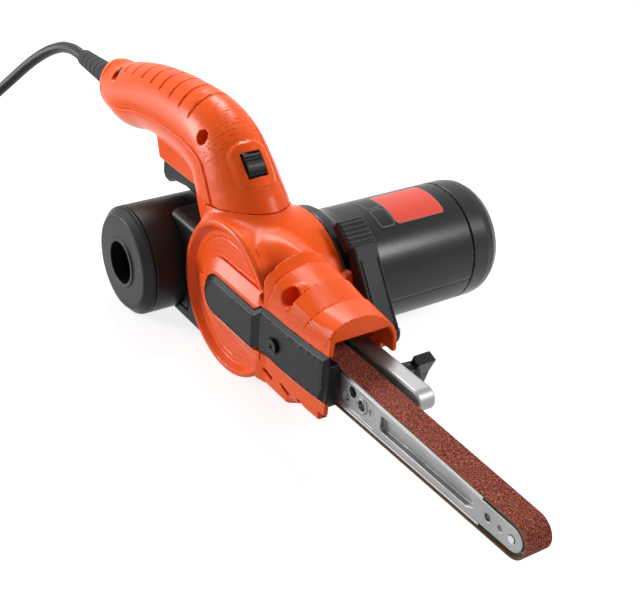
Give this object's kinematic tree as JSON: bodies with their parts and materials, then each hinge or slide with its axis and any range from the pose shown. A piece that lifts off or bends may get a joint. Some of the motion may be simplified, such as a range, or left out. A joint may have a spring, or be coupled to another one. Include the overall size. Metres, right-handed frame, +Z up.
{
  "type": "power file",
  "caption": "Hand held power file: a narrow sanding belt on a long arm, a side motor across a round body, a curved grip with trigger and speed dial, and a dust canister.",
  "frame": {"origin": "middle of the bottom of the tool's box, without the cord and what is on it", "axes": "+X along the arm to its nose, +Y to the motor, +Z up"},
  "size_m": [0.5317, 0.3089, 0.1235],
  "materials": {
    "orange_shell": "satin moulded orange",
    "motor_shell": "polished black",
    "motor_cap_shell": "satin dark grey",
    "black_plastic": "fine grained black",
    "cover_plastic": "smooth dark grey",
    "grit_belt": "coarse red brown grit on cloth",
    "cast_aluminium": "machined and sand blasted",
    "steel": "ground",
    "screw_steel": "black oxide",
    "core_iron": "laminated",
    "copper": "enamelled copper",
    "carbon": "pressed carbon",
    "board": "lacquered board",
    "rubber": "soft black",
    "cord_rubber": "matte jacket"
  },
  "bodies": {
    "tool": {"body_housing": "orange_shell", "handle_shell_right": "orange_shell", "handle_shell_left": "orange_shell", "handle_screws": "screw_steel", "belt_cover": "cover_plastic", "cover_screw": "screw_steel", "nose_screw": "screw_steel", "sanding_belt": "grit_belt", "tension_spring": "steel", "lever_pin": "steel", "motor_housing": "motor_shell", "motor_end_cap": "motor_cap_shell", "end_cap_screws": "screw_steel", "bearing_plate": "cast_aluminium", "front_bearing": "steel", "rear_bearing": "steel", "field_core": "core_iron", "field_coils": "copper", "brush_holders": "copper", "carbon_brushes": "carbon", "brush_springs": "steel", "trigger_pin": "steel", "trigger_spring": "steel", "power_switch": "black_plastic", "control_board": "board", "dust_adapter": "black_plastic", "cord_clamp": "black_plastic", "strain_relief": "rubber", "power_cord": "cord_rubber", "cord_coil": "cord_rubber", "cord_tail": "cord_rubber", "coil_tie": "black_plastic", "plug_body": "black_plastic", "plug_pins": "steel"},
    "rotor": {"drive_roller": "cast_aluminium", "armature_shaft": "steel", "armature_core": "core_iron", "armature_winding": "copper", "commutator": "copper", "cooling_fan": "black_plastic"},
    "arm": {"file_arm": "cast_aluminium", "platen_strips": "steel", "nose_pin": "steel", "arm_bracket": "cast_aluminium"},
    "nose_wheel": {"nose_roller": "cast_aluminium"},
    "lever": {"tension_lever": "black_plastic"},
    "knob": {"wing_knob": "black_plastic"},
    "trigger_body": {"trigger": "black_plastic"},
    "dial": {"speed_dial": "black_plastic"},
    "canister": {"dust_canister": "black_plastic", "vortex_tube": "black_plastic", "canister_seal": "rubber"},
    "cap": {"canister_cap": "black_plastic"}
  },
  "joints": [
    {"name": "rotor_spin", "type": "hinge", "parent": "tool", "child": "rotor", "pos_m": [-0.01855, -0.05285, 0.0403], "axis": [0, 1, 0], "continuous": true},
    {"name": "arm_slide", "type": "slide", "parent": "tool", "child": "arm", "axis": [1, 0, 0], "range_m": [-0.006, 0], "stiffness_N_per_m": 1500, "springref_m": 0.004, "deforming": ["tension_spring"]},
    {"name": "nose_spin", "type": "hinge", "parent": "arm", "child": "nose_wheel", "pos_m": [0.17895, -0.05285, 0.0403], "axis": [0, 1, 0], "continuous": true},
    {"name": "lever_swing", "type": "hinge", "parent": "tool", "child": "lever", "pos_m": [0.03445, -0.00985, 0.0343], "axis": [0, 1, 0], "range_deg": [0, 45]},
    {"name": "knob_turn", "type": "hinge", "parent": "arm", "child": "knob", "pos_m": [0.07745, -0.02585, 0.0428], "axis": [0, 1, 0], "range_deg": [-180, 180]},
    {"name": "trigger_pull", "type": "hinge", "parent": "tool", "child": "trigger_body", "pos_m": [-0.08094, -0.04185, 0.07698], "axis": [0, 1, 0], "range_deg": [0, 8], "stiffness_Nm_per_rad": 1, "springref_deg": -8.59, "deforming": ["trigger_spring"]},
    {"name": "dial_turn", "type": "hinge", "parent": "tool", "child": "dial", "pos_m": [-0.03703, -0.04385, 0.09808], "axis": [0, 1, 0], "range_deg": [-135, 135]},
    {"name": "canister_slide", "type": "slide", "parent": "tool", "child": "canister", "axis": [-1, 0, 0], "range_m": [0, 0.04]},
    {"name": "cap_pull", "type": "slide", "parent": "canister", "child": "cap", "axis": [0, -1, 0], "range_m": [0, 0.03]}
  ],
  "couplings": [
    {"joint": "nose_spin", "follows": "rotor_spin", "ratio": 1.5278},
    {"joint": "lever_swing", "follows": "arm_slide", "rad_per_m": -130}
  ]
}
